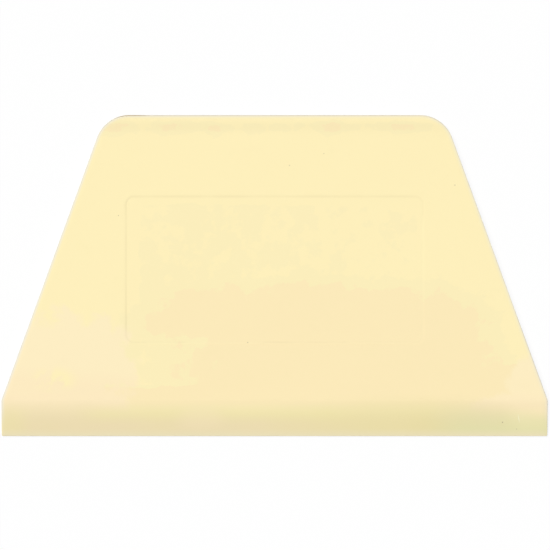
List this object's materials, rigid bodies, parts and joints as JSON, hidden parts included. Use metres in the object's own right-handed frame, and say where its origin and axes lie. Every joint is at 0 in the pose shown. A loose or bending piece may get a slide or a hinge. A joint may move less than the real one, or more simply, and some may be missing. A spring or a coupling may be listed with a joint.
{
  "type": "dough scraper",
  "caption": "Trapezoid plastic dough scraper with a wide bevelled scraping edge, a rounded grip edge and a shallow label field, for cutting, lifting and scraping dough.",
  "frame": {"origin": "on the flat underside, in the middle of the width and of the depth", "axes": "+X along the scraping edge, +Y from the scraping edge to the grip edge, +Z out of the upper face, which has the bevel and the label field"},
  "size_m": [0.216, 0.127, 0.0026],
  "materials": {
    "cream_plastic": "matt moulded, pale cream"
  },
  "bodies": {
    "root": {"scraper_plate": "cream_plastic"}
  },
  "joints": []
}
